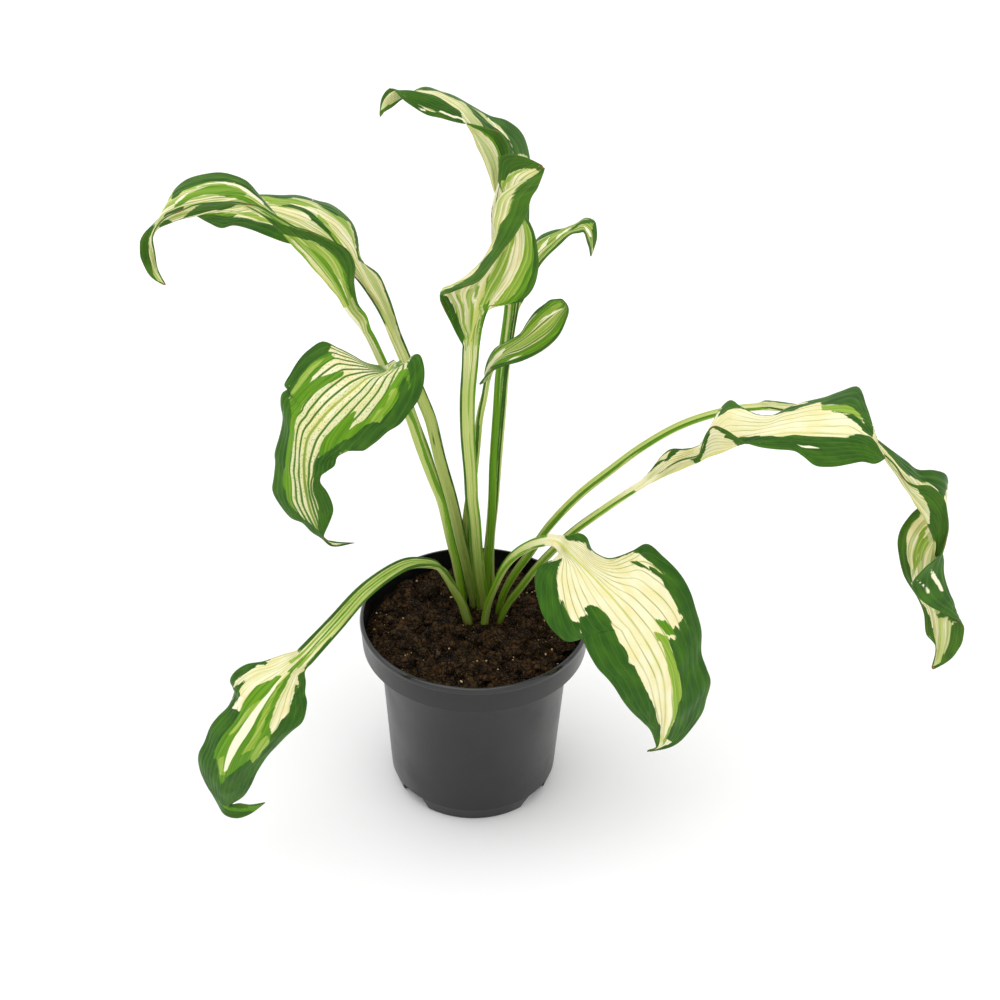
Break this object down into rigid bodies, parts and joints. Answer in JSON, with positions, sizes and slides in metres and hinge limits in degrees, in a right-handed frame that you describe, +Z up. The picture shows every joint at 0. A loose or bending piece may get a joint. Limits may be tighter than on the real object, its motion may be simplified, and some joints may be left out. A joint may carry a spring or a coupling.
{
  "type": "potted hosta",
  "caption": "Garden hosta in a round nursery pot, with long channelled stalks and twisted, arching green and cream leaves, to stand on a patio, shelf or floor.",
  "frame": {"origin": "middle of the pot's underside, on the surface that the pot stands on", "axes": "+Z up, +X to the right as seen from the front, +Y away from the front"},
  "size_m": [0.4499, 0.2103, 0.4171],
  "materials": {
    "pot": "dark charcoal moulded plastic with a satin sheen",
    "soil": "moist dark brown potting compost with clods and fibres",
    "leaf": "fresh leaf, cream and green with dark green margins, softly glossy"
  },
  "bodies": {
    "root": {"pot": "pot", "soil": "soil", "leaf_front_left": "leaf", "leaf_front_right": "leaf", "leaf_right_near": "leaf", "leaf_right_far": "leaf", "leaf_left_near": "leaf", "leaf_left_far": "leaf", "leaf_left_hanging": "leaf", "leaf_centre_twisted": "leaf", "leaf_top_arching": "leaf", "leaf_small_curled": "leaf", "leaf_back_small": "leaf"}
  },
  "joints": []
}
